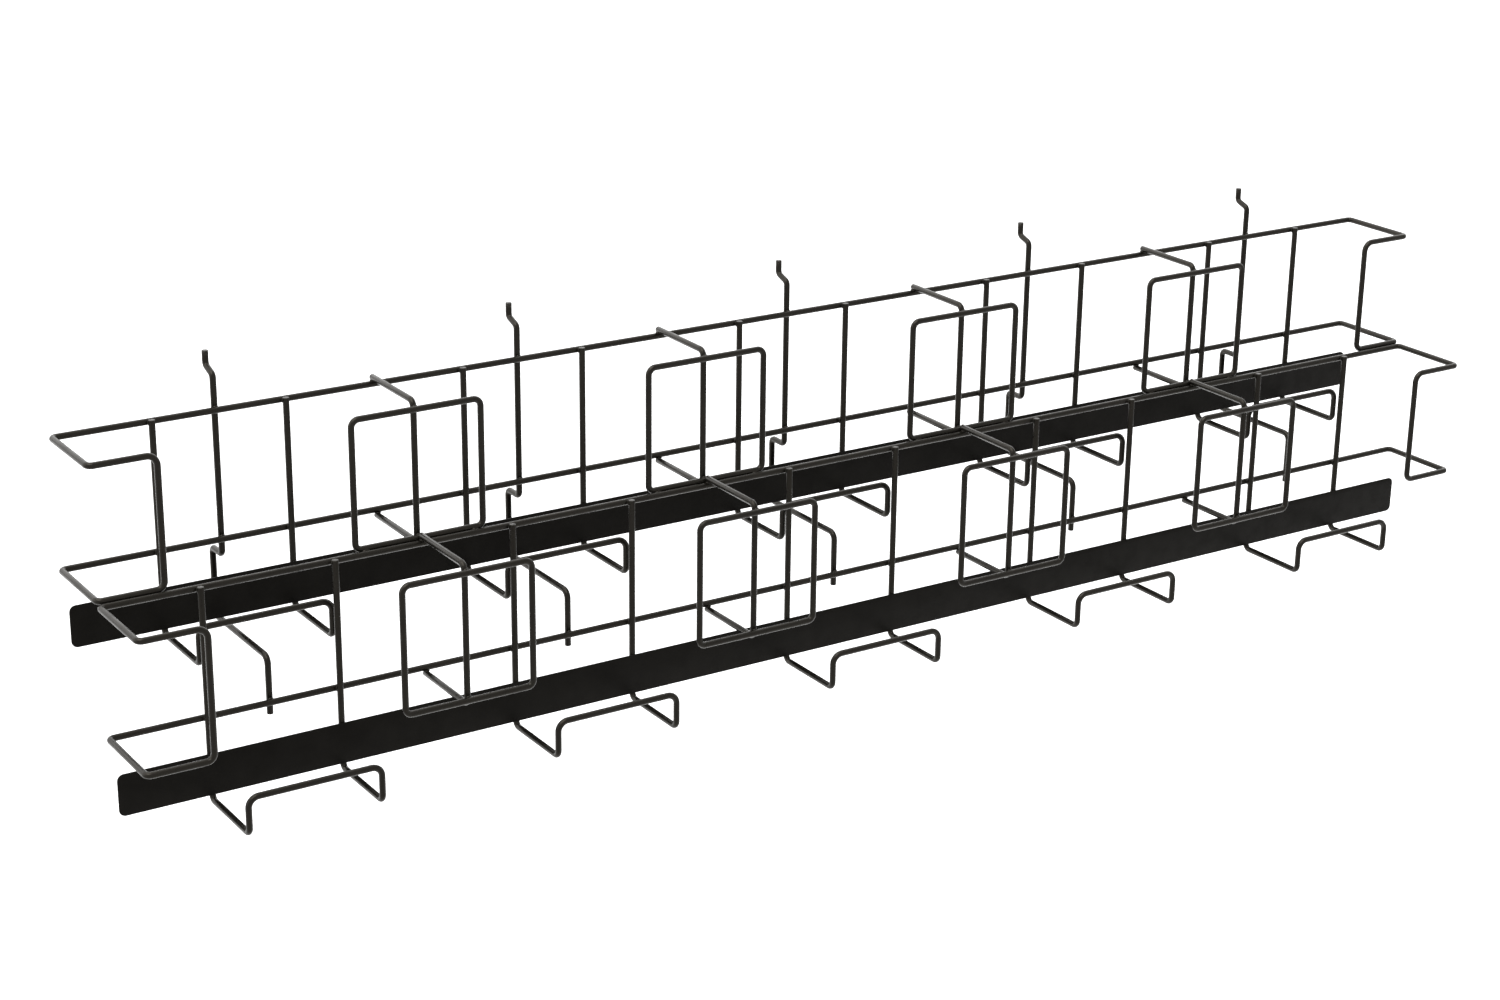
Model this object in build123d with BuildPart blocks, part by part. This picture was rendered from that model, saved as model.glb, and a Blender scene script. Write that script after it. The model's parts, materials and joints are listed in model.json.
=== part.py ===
from build123d import *
import os

# Two-tier cable tray of welded round wire. Two identical baskets stand one
# behind and above the other, and five bent hook wires hold them together.
# Frame: X along the tray, -Y towards the front, Z up. The origin is on the
# middle hook's tip. Millimetres.

os.makedirs("parts", exist_ok=True)

# --- wire and its bends (all bend radii are to the wire's centre line) ---
wire_d = 5.0
weld_gap = 0.0

# --- basket, one pattern used for both tiers ---
rail_spacing = 100.0
rail_past_hook = 125.0
basket_depth = 72.0
end_loop_width = 50.0
loop_plan_bend = 4.0
loop_top_bend = 8.0
loop_low_bend = 6.0

# --- J wires, centred on the hooks ---
j_width = 104.0
j_top_over_rail = 2.5
j_bottom_drop = 63.0
j_lip_height = 28.0
j_bend = 5.0
j_lip_bend = 8.0

# --- C wires and the front frames welded on them ---
c_bend = 5.0
c_tail = 1.5
c_butt_gap = 0.0
frame_width = 105.0
frame_top_bend = 6.0
frame_low_bend = 5.0

# --- flat strip ---
strip_short_of_rail = 1.0
strip_height = 32.5
strip_thickness = 1.5
strip_corner = 5.0

# --- hook wires ---
hook_count = 5
hook_pitch = 250.0
hook_bend = 4.0
hook_front_bend = 6.0
hook_tip_over_rail = 41.0
hook_tip_length = 11.2
hook_tip_offset = 12.5
hook_crank_drop = 4.3
hook_low_jog_drop = 14.0
hook_low_jog_depth = 18.5
hook_under_strip = 11.0
hook_tail = 11.0

# --- how far the lower basket's rear rails stand below the upper basket's front wires ---
tier_step_down = 3.0

# --- places that follow from the sizes ---
touch = wire_d + weld_gap
tier_step_out = (touch**2 - tier_step_down**2) ** 0.5
tiers = {
    "upper": (0.0, 0.0),
    "lower": (-(basket_depth + tier_step_out), -(rail_spacing + tier_step_down)),
}
hook_y = touch
j_rear_y = -touch
front_y = -basket_depth
c_front_y = front_y + touch
c_top_z = touch
c_low_z = -rail_spacing - touch
j_low_z = -rail_spacing - j_bottom_drop
strip_low_z = j_low_z + j_bend
strip_y = j_rear_y - wire_d / 2 - weld_gap - strip_thickness
rail_length = hook_pitch * (hook_count - 1) + 2 * rail_past_hook
strip_length = rail_length - 2 * strip_short_of_rail
hook_x = [hook_pitch * (i - (hook_count - 1) / 2) for i in range(hook_count)]
cross_x = [(a + b) / 2 for a, b in zip(hook_x, hook_x[1:])]

# The part's own origin: the end of the middle hook's tip, on its axis.
origin_shift = Vector(0, -(hook_y + hook_tip_offset), -hook_tip_over_rail)


def place(x, y, z, tier="upper"):
    """A point of the tray, moved to its tier and into the part's frame."""
    out, down = tiers[tier]
    return Vector(x, y + out, z + down) + origin_shift


def bent_wire(label, points, bends, closed=False):
    """One round wire along straight runs joined by tangent bends."""
    with BuildPart() as wire:
        with BuildLine() as run:
            FilletPolyline(*points, radius=bends, close=closed)
        path = run.wires()[0]
        with BuildSketch(Plane(origin=path @ 0, z_dir=path % 0)):
            Circle(wire_d / 2)
        sweep(path=path)
    wire.part.label = label
    export_step(wire.part, f"parts/{label}.step")
    return wire.part


def rim_wire(tier):
    """Both rear rails and both end loops, one closed wire."""
    ends = []
    for side in (-1, 1):
        x_out = side * rail_length / 2
        x_in = x_out - side * end_loop_width
        ends.append((x_out, x_in))
    (xl, xli), (xr, xri) = ends
    low = -rail_spacing
    points = [
        place(xl, 0, 0, tier),
        place(xr, 0, 0, tier),
        place(xr, front_y, 0, tier),
        place(xri, front_y, 0, tier),
        place(xri, front_y, low, tier),
        place(xr, front_y, low, tier),
        place(xr, 0, low, tier),
        place(xl, 0, low, tier),
        place(xl, front_y, low, tier),
        place(xli, front_y, low, tier),
        place(xli, front_y, 0, tier),
        place(xl, front_y, 0, tier),
    ]
    plan, top, bottom = loop_plan_bend, loop_top_bend, loop_low_bend
    bends = [plan, plan, plan, top, bottom, plan, plan, plan, plan, bottom, top, plan]
    return bent_wire(f"rim_wire_{tier}", points, bends, closed=True)


def j_wire(tier, number, x):
    """Down in front of the rails, forward under the strip and up to a lip."""
    half = j_width / 2
    lip_z = j_low_z + j_lip_height
    points = [
        place(x - half, j_rear_y, j_top_over_rail, tier),
        place(x - half, j_rear_y, j_low_z, tier),
        place(x - half, front_y, j_low_z, tier),
        place(x - half, front_y, lip_z, tier),
        place(x + half, front_y, lip_z, tier),
        place(x + half, front_y, j_low_z, tier),
        place(x + half, j_rear_y, j_low_z, tier),
        place(x + half, j_rear_y, j_top_over_rail, tier),
    ]
    bends = [j_bend, j_bend, j_lip_bend, j_lip_bend, j_bend, j_bend]
    return bent_wire(f"j_wire_{tier}_{number}", points, bends)


def c_wire(tier, number, x):
    """Over the top rail, down the front and back under the lower rail."""
    top_tail = c_tail
    if tier == "lower":
        # The upper tier's front frame stands here, so the top leg butts against it.
        out, down = tiers["lower"]
        top_tail = front_y - wire_d / 2 - c_butt_gap - out
    points = [
        place(x, top_tail, c_top_z, tier),
        place(x, c_front_y, c_top_z, tier),
        place(x, c_front_y, c_low_z, tier),
        place(x, c_tail, c_low_z, tier),
    ]
    return bent_wire(f"c_wire_{tier}_{number}", points, [c_bend, c_bend])


def front_frame(tier, number, x):
    """A closed rectangle of wire welded on the front of a C wire."""
    half = frame_width / 2
    low = -rail_spacing
    points = [
        place(x - half, front_y, 0, tier),
        place(x + half, front_y, 0, tier),
        place(x + half, front_y, low, tier),
        place(x - half, front_y, low, tier),
    ]
    bends = [frame_top_bend, frame_top_bend, frame_low_bend, frame_low_bend]
    return bent_wire(f"front_frame_{tier}_{number}", points, bends, closed=True)


def flat_strip(tier):
    """Flat bar with rounded corners, standing on edge in front of the J wires."""
    middle = place(0, strip_y, strip_low_z + strip_height / 2, tier)
    with BuildPart() as strip:
        with BuildSketch(Plane(origin=middle, x_dir=(1, 0, 0), z_dir=(0, 1, 0))):
            RectangleRounded(strip_length, strip_height, strip_corner)
        extrude(amount=strip_thickness)
    label = f"flat_strip_{tier}"
    strip.part.label = label
    export_step(strip.part, f"parts/{label}.step")
    return strip.part


def hook_wire(number, x):
    """Tip, crank, long leg behind the rails, jog back and forward, and tail."""
    out, down = tiers["lower"]
    tip_y = hook_y + hook_tip_offset
    tip_low = hook_tip_over_rail - hook_tip_length
    jog_z = -rail_spacing - hook_low_jog_drop
    back_y = hook_y + hook_low_jog_depth
    under_z = strip_low_z - hook_under_strip
    tail_y = out + hook_y
    points = [
        place(x, tip_y, hook_tip_over_rail),
        place(x, tip_y, tip_low),
        place(x, hook_y, tip_low - hook_crank_drop),
        place(x, hook_y, jog_z),
        place(x, back_y, jog_z),
        place(x, back_y, under_z),
        place(x, tail_y, under_z),
        place(x, tail_y, down - rail_spacing - hook_tail),
    ]
    bends = [hook_bend] * 4 + [hook_front_bend] * 2
    return bent_wire(f"hook_wire_{number}", points, bends)


for tier in tiers:
    rim_wire(tier)
    flat_strip(tier)
    for i, x in enumerate(hook_x, start=1):
        j_wire(tier, i, x)
    for i, x in enumerate(cross_x, start=1):
        c_wire(tier, i, x)
        front_frame(tier, i, x)

for i, x in enumerate(hook_x, start=1):
    hook_wire(i, x)
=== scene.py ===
import json
import math

import bmesh
import bpy
from mathutils import Matrix, Vector

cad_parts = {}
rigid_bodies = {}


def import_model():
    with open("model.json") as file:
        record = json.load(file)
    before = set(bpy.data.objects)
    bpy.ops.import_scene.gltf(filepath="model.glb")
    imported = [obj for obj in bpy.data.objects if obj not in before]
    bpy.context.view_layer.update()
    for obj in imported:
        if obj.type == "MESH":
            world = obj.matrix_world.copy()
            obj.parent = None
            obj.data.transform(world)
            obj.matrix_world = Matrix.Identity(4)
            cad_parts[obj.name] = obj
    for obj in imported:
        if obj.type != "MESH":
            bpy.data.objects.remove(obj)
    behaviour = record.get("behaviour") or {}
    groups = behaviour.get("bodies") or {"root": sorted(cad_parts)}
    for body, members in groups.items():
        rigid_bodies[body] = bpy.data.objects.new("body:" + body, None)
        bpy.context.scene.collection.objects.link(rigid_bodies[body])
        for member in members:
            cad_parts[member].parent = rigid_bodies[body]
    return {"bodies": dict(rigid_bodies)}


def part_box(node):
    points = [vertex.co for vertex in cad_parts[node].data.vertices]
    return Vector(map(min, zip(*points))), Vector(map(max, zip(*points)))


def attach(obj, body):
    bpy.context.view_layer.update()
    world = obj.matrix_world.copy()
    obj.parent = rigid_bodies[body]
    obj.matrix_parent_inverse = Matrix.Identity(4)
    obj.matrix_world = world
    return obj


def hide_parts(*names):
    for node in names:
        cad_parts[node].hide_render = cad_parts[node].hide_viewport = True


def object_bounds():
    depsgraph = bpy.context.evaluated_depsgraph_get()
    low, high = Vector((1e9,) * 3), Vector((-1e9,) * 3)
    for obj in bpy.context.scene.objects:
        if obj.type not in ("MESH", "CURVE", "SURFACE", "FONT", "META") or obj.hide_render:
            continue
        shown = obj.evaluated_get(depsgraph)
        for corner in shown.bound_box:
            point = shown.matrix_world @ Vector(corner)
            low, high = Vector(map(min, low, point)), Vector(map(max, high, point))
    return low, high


# Two-tier wire cable tray, black powder coat. Metres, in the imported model's frame.

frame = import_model()
cad_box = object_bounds()
body = next(iter(frame["bodies"]))

# --- wire stock and bends, to the wire's centre line ---
wire_r = (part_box("front_frame_upper_1")[1].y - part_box("front_frame_upper_1")[0].y) / 2
loop_width = 0.050
loop_plan_bend = 0.004
loop_top_bend = 0.008
loop_low_bend = 0.006
j_bend = 0.005
j_lip_bend = 0.008
c_bend = 0.005
frame_top_bend = 0.006
frame_low_bend = 0.005
strip_corner = 0.005
hook_bend = 0.004
hook_front_bend = 0.006
hook_tip_offset = 0.0125
hook_tip_length = 0.0112
hook_crank_drop = 0.0043
hook_jog_drop = 0.014
hook_under_strip = 0.011
j_lip_height = 0.028

wire_sides = 28
bend_steps = 9
cut_edge = 0.00045
nugget_r = 0.0028
nugget_thick = 0.0011
spot_r = 0.0017
spot_thick = 0.0008
spot_heights = (0.28, 0.72)
seam_reach = 0.045
seam_r = 0.0017
seam_length = 1.3
strip_edge = 0.00035

tiers = ("upper", "lower")
hooks = range(1, 6)
crosses = range(1, 5)


# --- finishes: scales per metre, depths in metres ---
patch_scale = 38.0
fleck_scale = 2600.0
fleck_share = 0.35
sheen_scale = 95.0
peel_scale = 620.0
peel_depth = 0.00012
grain_scale = 2900.0
grain_depth = 0.00003
grain_share = 0.6
scratch_scale = 900.0
# Painted highlight at the tops of the hook tips, broken up like scuffs: its height band and pale
# tone.
tip_highlight_low = -0.0040
tip_highlight_high = -0.0002
scuffed_highlight_tone = (0.060, 0.058, 0.054)
warm_gloss = (1.0, 0.92, 0.79)


def ramp(nodes, low, high, low_at=0.35, high_at=0.65):
    """Colour ramp between two grey levels or colours."""
    node = nodes.new("ShaderNodeValToRGB")
    for element, value, at in zip(node.color_ramp.elements, (low, high), (low_at, high_at)):
        element.position = at
        element.color = (*value, 1.0) if isinstance(value, tuple) else (value, value, value, 1.0)
    return node


def noise(tree, coords, scale, detail=3.0, roughness=0.55):
    node = tree.nodes.new("ShaderNodeTexNoise")
    node.inputs["Scale"].default_value = scale
    node.inputs["Detail"].default_value = detail
    node.inputs["Roughness"].default_value = roughness
    tree.links.new(coords, node.inputs["Vector"])
    return node.outputs["Fac"]


def maths(tree, operation, *values):
    """Sum or product of patterns and numbers."""
    node = tree.nodes.new("ShaderNodeMath")
    node.operation = operation
    for socket, value in zip(node.inputs, values):
        if isinstance(value, (int, float)):
            socket.default_value = value
        else:
            tree.links.new(value, socket)
    return node.outputs[0]


def bump(tree, height, strength, depth, under=None):
    """Small relief, on top of another if one is given."""
    node = tree.nodes.new("ShaderNodeBump")
    node.inputs["Strength"].default_value = strength
    node.inputs["Distance"].default_value = depth
    tree.links.new(height, node.inputs["Height"])
    if under:
        tree.links.new(under, node.inputs["Normal"])
    return node.outputs["Normal"]


def powder_coat(name, dark, light, gloss, dull, specular, peel):
    """Baked powder coat: patchy tone and gloss, orange peel and fine grain."""
    material = bpy.data.materials.new(name)
    material.use_nodes = True
    tree = material.node_tree
    shader = tree.nodes["Principled BSDF"]
    coords = tree.nodes.new("ShaderNodeTexCoord").outputs["Object"]

    patches = maths(tree, "MULTIPLY", noise(tree, coords, patch_scale), 1 - fleck_share)
    flecks = noise(tree, coords, fleck_scale, 2.0)
    mixed = maths(tree, "MULTIPLY_ADD", flecks, fleck_share, patches)
    tone = ramp(tree.nodes, dark, light)
    tree.links.new(mixed, tone.inputs["Fac"])

    # Painted highlight with scuffs: the top few millimetres of the tips, which go into their holes,
    # are painted paler through a scratchy pattern.
    height = tree.nodes.new("ShaderNodeSeparateXYZ")
    tree.links.new(coords, height.inputs[0])
    tip = tree.nodes.new("ShaderNodeMapRange")
    tip.inputs["From Min"].default_value = tip_highlight_low
    tip.inputs["From Max"].default_value = tip_highlight_high
    tree.links.new(height.outputs["Z"], tip.inputs["Value"])
    scratches = ramp(tree.nodes, 0.0, 1.0, 0.47, 0.60)
    tree.links.new(noise(tree, coords, scratch_scale, 4.0, 0.7), scratches.inputs["Fac"])
    scuff_highlight = maths(tree, "MULTIPLY", tip.outputs["Result"], scratches.outputs["Color"])
    rubbed_highlight = tree.nodes.new("ShaderNodeMixRGB")
    rubbed_highlight.inputs["Color2"].default_value = (*scuffed_highlight_tone, 1)
    tree.links.new(scuff_highlight, rubbed_highlight.inputs["Fac"])
    tree.links.new(tone.outputs["Color"], rubbed_highlight.inputs["Color1"])
    tree.links.new(rubbed_highlight.outputs["Color"], shader.inputs["Base Color"])

    sheen = ramp(tree.nodes, gloss, dull)
    tree.links.new(noise(tree, coords, sheen_scale, 4.0), sheen.inputs["Fac"])
    tree.links.new(sheen.outputs["Color"], shader.inputs["Roughness"])

    orange_peel = bump(tree, noise(tree, coords, peel_scale, 2.0), peel, peel_depth)
    grain = noise(tree, coords, grain_scale, 2.0)
    relief = bump(tree, grain, peel * grain_share, grain_depth, orange_peel)
    tree.links.new(relief, shader.inputs["Normal"])

    shader.inputs["Metallic"].default_value = 0.0
    shader.inputs["Specular IOR Level"].default_value = specular
    shader.inputs["Specular Tint"].default_value = (*warm_gloss, 1)
    return material


wire_coat = powder_coat(
    "coated_wire", dark=(0.0032, 0.0028, 0.0022), light=(0.0074, 0.0066, 0.0053),
    gloss=0.23, dull=0.35, specular=0.24, peel=0.35,
)
strip_coat = powder_coat(
    "coated_strip", dark=(0.0026, 0.0025, 0.0023), light=(0.0058, 0.0055, 0.0050),
    gloss=0.42, dull=0.56, specular=0.08, peel=0.30,
)


# --- wire bending ---
def finish_piece(bm, name, coat, stands_for=()):
    """Turns a bmesh into a piece that rides on the tray."""
    bmesh.ops.recalc_face_normals(bm, faces=bm.faces)
    for face in bm.faces:
        face.smooth = True
    mesh = bpy.data.meshes.new(name)
    bm.to_mesh(mesh)
    bm.free()
    mesh.materials.append(coat)
    piece = bpy.data.objects.new(name, mesh)
    bpy.context.scene.collection.objects.link(piece)
    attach(piece, body)
    if stands_for:
        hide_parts(*stands_for)
    return piece


def feed(bm, ring, step):
    """Pushes the open end of the wire straight on."""
    grown = bmesh.ops.extrude_edge_only(bm, edges=ring)["geom"]
    bmesh.ops.translate(bm, vec=step, verts=[g for g in grown if isinstance(g, bmesh.types.BMVert)])
    return [g for g in grown if isinstance(g, bmesh.types.BMEdge) and g.is_boundary]


def bend(bm, ring, centre, axis, angle):
    """Turns the open end of the wire round a bending pin."""
    spun = bmesh.ops.spin(
        bm, geom=ring, cent=centre, axis=axis, dvec=(0, 0, 0), angle=angle, steps=bend_steps,
        use_merge=False, use_duplicate=False,
    )["geom_last"]
    return [g for g in spun if isinstance(g, bmesh.types.BMEdge)]


def corner(before, at, after, radius):
    """Where a bend starts and ends, its pin, its axis and how far it turns."""
    way_in = (at - before).normalized()
    way_out = (after - at).normalized()
    turn = way_in.angle(way_out)
    reach = radius * math.tan(turn / 2)
    start, end = at - way_in * reach, at + way_out * reach
    axis = way_in.cross(way_out).normalized()
    return start, end, start + axis.cross(way_in) * radius, axis, turn


def bent_wire(name, points, bends, closed=False):
    """Round wire fed and bent along its route, with softened cut ends."""
    points = [Vector(p) for p in points]
    count = len(points)
    turns = range(count) if closed else range(1, count - 1)
    corners = [
        corner(points[i - 1], points[i], points[(i + 1) % count], bends[i if closed else i - 1])
        for i in turns
    ]
    start = corners[-1][1] if closed else points[0]
    heading = (corners[0][0] - start).normalized()
    bm = bmesh.new()
    place = Matrix.Translation(start) @ heading.to_track_quat("Z", "Y").to_matrix().to_4x4()
    bmesh.ops.create_circle(bm, cap_ends=False, segments=wire_sides, radius=wire_r, matrix=place)
    first = ring = list(bm.edges)
    here = start
    for bend_start, bend_end, pin, axis, turn in corners:
        ring = feed(bm, ring, bend_start - here)
        ring = bend(bm, ring, pin, axis, turn)
        here = bend_end
    if closed:
        bmesh.ops.remove_doubles(bm, verts=bm.verts, dist=wire_r * 0.02)
    else:
        ring = feed(bm, ring, points[-1] - here)
        bmesh.ops.holes_fill(bm, edges=first + ring)
        rims = [e for e in bm.edges if any(len(f.verts) > 4 for f in e.link_faces)]
        bmesh.ops.bevel(
            bm, geom=rims, offset=cut_edge, offset_type="OFFSET", segments=3, profile=0.5,
            affect="EDGES", material=-1,
        )
    return finish_piece(bm, f"coat_{name}", wire_coat, [name])


# --- basket wires ---
def middles(node):
    """A node's box pulled in to the wire's centre line."""
    lo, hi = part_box(node)
    inset = Vector((wire_r,) * 3)
    return lo + inset, hi - inset


def rim_wire(tier):
    lo, hi = middles(f"rim_wire_{tier}")
    left, right = lo.x + loop_width, hi.x - loop_width
    points = [
        (lo.x, hi.y, hi.z), (hi.x, hi.y, hi.z), (hi.x, lo.y, hi.z), (right, lo.y, hi.z),
        (right, lo.y, lo.z), (hi.x, lo.y, lo.z), (hi.x, hi.y, lo.z), (lo.x, hi.y, lo.z),
        (lo.x, lo.y, lo.z), (left, lo.y, lo.z), (left, lo.y, hi.z), (lo.x, lo.y, hi.z),
    ]
    plan, top, low = loop_plan_bend, loop_top_bend, loop_low_bend
    bends = [plan, plan, plan, top, low, plan, plan, plan, plan, low, top, plan]
    bent_wire(f"rim_wire_{tier}", points, bends, closed=True)


def j_wire(tier, number):
    name = f"j_wire_{tier}_{number}"
    lo, hi = middles(name)
    top = hi.z + wire_r
    lip = lo.z + j_lip_height
    points = [
        (lo.x, hi.y, top), (lo.x, hi.y, lo.z), (lo.x, lo.y, lo.z), (lo.x, lo.y, lip),
        (hi.x, lo.y, lip), (hi.x, lo.y, lo.z), (hi.x, hi.y, lo.z), (hi.x, hi.y, top),
    ]
    bent_wire(name, points, [j_bend, j_bend, j_lip_bend, j_lip_bend, j_bend, j_bend])


def c_wire(tier, number):
    name = f"c_wire_{tier}_{number}"
    lo, hi = middles(name)
    low_tail = hi.y + wire_r
    top_tail = low_tail
    if tier == "lower":
        top_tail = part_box(f"front_frame_upper_{number}")[0].y
    points = [
        (lo.x, top_tail, hi.z), (lo.x, lo.y, hi.z), (lo.x, lo.y, lo.z), (lo.x, low_tail, lo.z),
    ]
    bent_wire(name, points, [c_bend, c_bend])


def front_frame(tier, number):
    name = f"front_frame_{tier}_{number}"
    lo, hi = middles(name)
    points = [
        (lo.x, lo.y, hi.z), (hi.x, lo.y, hi.z), (hi.x, lo.y, lo.z), (lo.x, lo.y, lo.z),
    ]
    bends = [frame_top_bend, frame_top_bend, frame_low_bend, frame_low_bend]
    bent_wire(name, points, bends, closed=True)


def hook_wire(number):
    name = f"hook_wire_{number}"
    lo, hi = middles(name)
    rails_lo, rails_hi = middles("rim_wire_upper")
    tip_top, tail_end = hi.z + wire_r, lo.z - wire_r
    leg = rails_hi.y + 2 * wire_r
    tip = leg + hook_tip_offset
    crank = tip_top - hook_tip_length
    jog = rails_lo.z - hook_jog_drop
    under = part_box("flat_strip_upper")[0].z - hook_under_strip
    points = [
        (lo.x, tip, tip_top), (lo.x, tip, crank), (lo.x, leg, crank - hook_crank_drop),
        (lo.x, leg, jog), (lo.x, hi.y, jog), (lo.x, hi.y, under), (lo.x, lo.y, under),
        (lo.x, lo.y, tail_end),
    ]
    bent_wire(name, points, [hook_bend] * 4 + [hook_front_bend] * 2)


def flat_strip(tier):
    """Flat bar with rounded corners and softened edges."""
    name = f"flat_strip_{tier}"
    lo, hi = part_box(name)
    size = hi - lo
    bm = bmesh.new()
    place = (
        Matrix.Translation((lo + hi) / 2 - Vector((0, size.y / 2, 0)))
        @ Matrix.Rotation(math.pi / 2, 4, "X")
        @ Matrix.Diagonal((size.x, size.z, 1, 1))
    )
    bmesh.ops.create_grid(bm, x_segments=1, y_segments=1, size=0.5, matrix=place)
    bmesh.ops.bevel(
        bm, geom=list(bm.verts), offset=strip_corner, offset_type="OFFSET", segments=10,
        profile=0.5, affect="VERTICES", material=-1,
    )
    grown = bmesh.ops.extrude_face_region(bm, geom=list(bm.faces))["geom"]
    bmesh.ops.translate(
        bm, vec=(0, size.y, 0), verts=[g for g in grown if isinstance(g, bmesh.types.BMVert)]
    )
    rims = [e for e in bm.edges if any(len(f.verts) > 4 for f in e.link_faces)]
    bmesh.ops.bevel(
        bm, geom=rims, offset=strip_edge, offset_type="OFFSET", segments=3, profile=0.5,
        affect="EDGES", material=-1,
    )
    finish_piece(bm, f"coat_{name}", strip_coat, [name])


for tier in tiers:
    rim_wire(tier)
    flat_strip(tier)
    for number in hooks:
        j_wire(tier, number)
    for number in crosses:
        c_wire(tier, number)
        front_frame(tier, number)
for number in hooks:
    hook_wire(number)


# --- resistance welds under the coat ---
def nuggets(name, spots):
    """Small flattened beads squeezed out where two wires were welded."""
    bm = bmesh.new()
    for centre, radii in spots:
        place = Matrix.Translation(centre) @ Matrix.Diagonal((*radii, 1.0))
        bmesh.ops.create_icosphere(bm, subdivisions=2, radius=1.0, matrix=place)
    finish_piece(bm, name, wire_coat)


def welds(tier):
    """Beads of one basket: J wires, C wires, front frames and strip."""
    flat_y = (nugget_r, nugget_thick, nugget_r)
    flat_z = (nugget_r, nugget_r, nugget_thick)
    rails_lo, rails_hi = middles(f"rim_wire_{tier}")
    strip_lo, strip_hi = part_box(f"flat_strip_{tier}")
    heights = (rails_lo.z, rails_hi.z)
    spots = []
    for number in hooks:
        lo, hi = middles(f"j_wire_{tier}_{number}")
        for x in (lo.x, hi.x):
            spots += [((x, hi.y + wire_r, z), flat_y) for z in heights]
            for part in spot_heights:
                z = strip_lo.z + (strip_hi.z - strip_lo.z) * part
                spots.append(((x, strip_hi.y, z), (spot_r, spot_thick, spot_r * 1.5)))
    for number in crosses:
        lo, hi = middles(f"c_wire_{tier}_{number}")
        spots.append(((lo.x, rails_hi.y, hi.z - wire_r), flat_z))
        spots.append(((lo.x, rails_hi.y, lo.z + wire_r), flat_z))
        front = middles(f"front_frame_{tier}_{number}")[0].y
        spots += [((lo.x, front + wire_r, z), flat_y) for z in heights]
    nuggets(f"welds_{tier}", spots)


def tier_welds():
    """Beads that hold the hook wires and join the two baskets."""
    flat_y = (nugget_r, nugget_thick, nugget_r)
    high_lo, high_hi = middles("rim_wire_upper")
    low_lo, low_hi = middles("rim_wire_lower")
    spots = []
    for number in hooks:
        lo = middles(f"hook_wire_{number}")[0]
        spots += [((lo.x, high_hi.y + wire_r, z), flat_y) for z in (high_lo.z, high_hi.z)]
        spots.append(((lo.x, lo.y - wire_r, low_lo.z), flat_y))
    for number in crosses:
        frame_lo, frame_hi = middles(f"front_frame_upper_{number}")
        between = ((frame_lo.y + low_hi.y) / 2, (frame_lo.z + low_hi.z) / 2)
        middle = (frame_lo.x + frame_hi.x) / 2
        for side in (-1, 1):
            centre = (middle + side * seam_reach, *between)
            spots.append((centre, (nugget_r * seam_length, seam_r, seam_r)))
        leg = middles(f"c_wire_lower_{number}")[1].z
        spots.append(((middle, frame_lo.y - wire_r, leg), flat_y))
    nuggets("welds_tiers", spots)


for tier in tiers:
    welds(tier)
tier_welds()


# --- studio ---
horizon = 1.0
back_wall = 2.3
front_room = 0.80
floor_drop = 0.75
floor_radius = 60
# Grey of the painted shade on the floor in front of the tray and to its right; sweep_grey is the
# pale level behind it.
floor_painted_shade_grey = 0.40
sweep_grey = 0.86
sweep_turn = math.radians(33)
sweep_widening = 0.27


def fade(tree, value, low, high, at_low, at_high):
    """Smooth fade between two strengths over a range of one direction."""
    node = tree.nodes.new("ShaderNodeMapRange")
    node.interpolation_type = "SMOOTHSTEP"
    node.inputs["From Min"].default_value = low
    node.inputs["From Max"].default_value = high
    node.inputs["To Min"].default_value = at_low
    node.inputs["To Max"].default_value = at_high
    tree.links.new(value, node.inputs["Value"])
    return node.outputs["Result"]


def studio_floor():
    """A wide, matt floor well below the tray, pale behind it and to its left, painted down to grey
    as painted shade in front of it and to its right.
    """
    bm = bmesh.new()
    place = Matrix.Translation((0, 0, cad_box[0].z - floor_drop))
    bmesh.ops.create_circle(bm, cap_ends=True, segments=96, radius=floor_radius, matrix=place)
    mesh = bpy.data.meshes.new("studio_floor")
    bm.to_mesh(mesh)
    bm.free()
    paint = bpy.data.materials.new("studio_floor")
    paint.use_nodes = True
    tree = paint.node_tree
    shader = tree.nodes["Principled BSDF"]
    turned = tree.nodes.new("ShaderNodeMapping")
    turned.inputs["Rotation"].default_value = (0, 0, sweep_turn)
    coords = tree.nodes.new("ShaderNodeTexCoord").outputs["Object"]
    tree.links.new(coords, turned.inputs["Vector"])
    split = tree.nodes.new("ShaderNodeSeparateXYZ")
    tree.links.new(turned.outputs["Vector"], split.inputs[0])
    aside, ahead = split.outputs["X"], split.outputs["Y"]
    past_sweep = maths(tree, "MULTIPLY_ADD", ahead, -sweep_widening, aside)
    behind = fade(tree, ahead, -1.2, 0.2, 0.0, 1.0)
    beside = fade(tree, past_sweep, 0.9, 2.4, 1.0, 0.0)
    pale = maths(tree, "MULTIPLY", behind, beside)
    # Painted shade: the floor fades from pale to grey in front of the tray and to its right.
    grey = ramp(tree.nodes, floor_painted_shade_grey, sweep_grey, 0.0, 1.0)
    tree.links.new(pale, grey.inputs["Fac"])
    tree.links.new(grey.outputs["Color"], shader.inputs["Base Color"])
    shader.inputs["Roughness"].default_value = 0.9
    shader.inputs["Specular IOR Level"].default_value = 0.0
    mesh.materials.append(paint)
    floor = bpy.data.objects.new("studio_floor", mesh)
    bpy.context.scene.collection.objects.link(floor)


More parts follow.
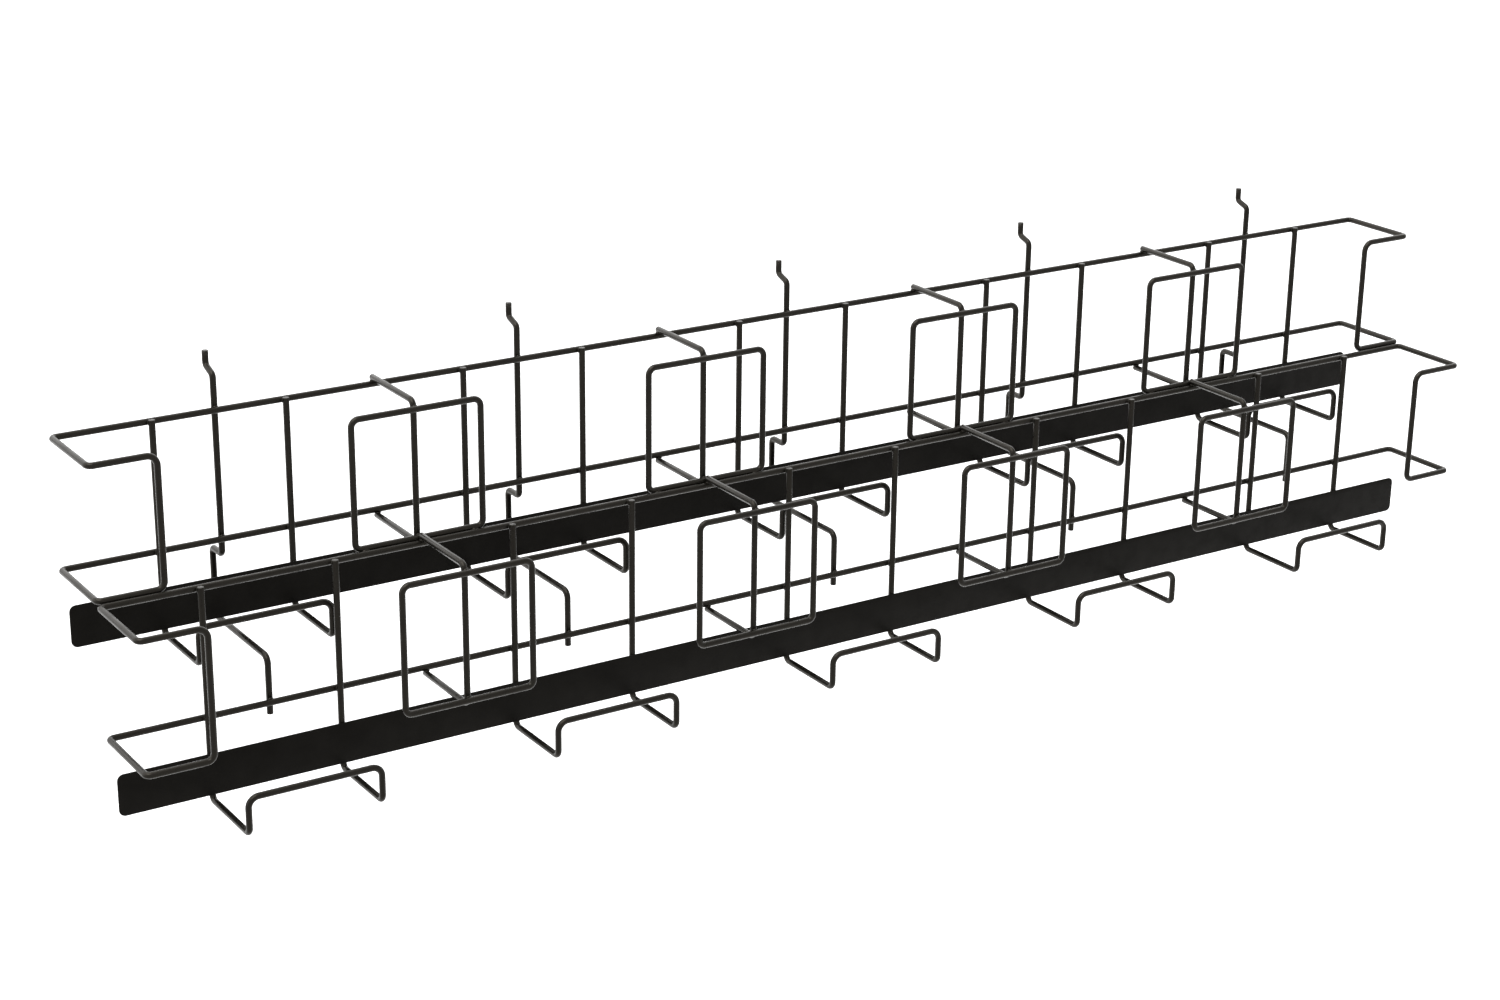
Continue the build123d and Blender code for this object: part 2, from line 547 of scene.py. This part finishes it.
def soft_sun(name, azimuth, elevation, strength, spread):
    """A wide, even softbox far away. Azimuth 0 stands in front of the tray."""
    light = bpy.data.lights.new(name, "SUN")
    light.energy = strength
    light.angle = math.radians(spread)
    lamp = bpy.data.objects.new(name, light)
    a, e = math.radians(azimuth), math.radians(elevation)
    towards = Vector((math.sin(a) * math.cos(e), -math.cos(a) * math.cos(e), math.sin(e)))
    lamp.rotation_mode = "QUATERNION"
    lamp.rotation_quaternion = towards.to_track_quat("Z", "Y")
    bpy.context.scene.collection.objects.link(lamp)


def studio_walls():
    """White horizon all round, a bright wall behind the tray and a dimmer room in front."""
    world = bpy.data.worlds.new("studio")
    bpy.context.scene.world = world
    world.use_nodes = True
    tree = world.node_tree
    split = tree.nodes.new("ShaderNodeSeparateXYZ")
    tree.links.new(tree.nodes.new("ShaderNodeTexCoord").outputs["Generated"], split.inputs[0])
    depth, up = split.outputs["Y"], split.outputs["Z"]
    blend = tree.nodes.new("ShaderNodeMix")
    tree.links.new(fade(tree, depth, -0.25, 0.35, 0.0, 1.0), blend.inputs["Factor"])
    tree.links.new(fade(tree, up, 0.04, 0.24, horizon, front_room), blend.inputs["A"])
    tree.links.new(fade(tree, up, 0.04, 0.24, horizon, back_wall), blend.inputs["B"])
    tree.links.new(blend.outputs["Result"], tree.nodes["Background"].inputs["Strength"])
    tree.nodes["Background"].inputs["Color"].default_value = (1, 1, 1, 1)


studio_floor()
studio_walls()
soft_sun("overhead", azimuth=-60, elevation=68, strength=2.3, spread=46)
soft_sun("left", azimuth=-105, elevation=12, strength=0.5, spread=50)

# --- camera ---
camera_azimuth = math.radians(-33.061)
camera_elevation = math.radians(19.758)
camera_roll = math.radians(0.725)
camera_distance = 2.2956
camera_aim = Vector((-0.06907, -0.0675, -0.1748))
camera_lens = 68.254

back = Vector((
    math.sin(camera_azimuth) * math.cos(camera_elevation),
    -math.cos(camera_azimuth) * math.cos(camera_elevation),
    math.sin(camera_elevation),
))
lens = bpy.data.cameras.new("camera")
lens.lens = camera_lens
lens.sensor_width = 36.0
lens.clip_end = 200.0
camera = bpy.data.objects.new("camera", lens)
bpy.context.scene.collection.objects.link(camera)
camera.matrix_world = (
    Matrix.Translation(camera_aim + back * camera_distance)
    @ back.to_track_quat("Z", "Y").to_matrix().to_4x4()
    @ Matrix.Rotation(camera_roll, 4, "Z")
)
bpy.context.scene.camera = camera
bpy.context.scene.view_settings.view_transform = "Standard"
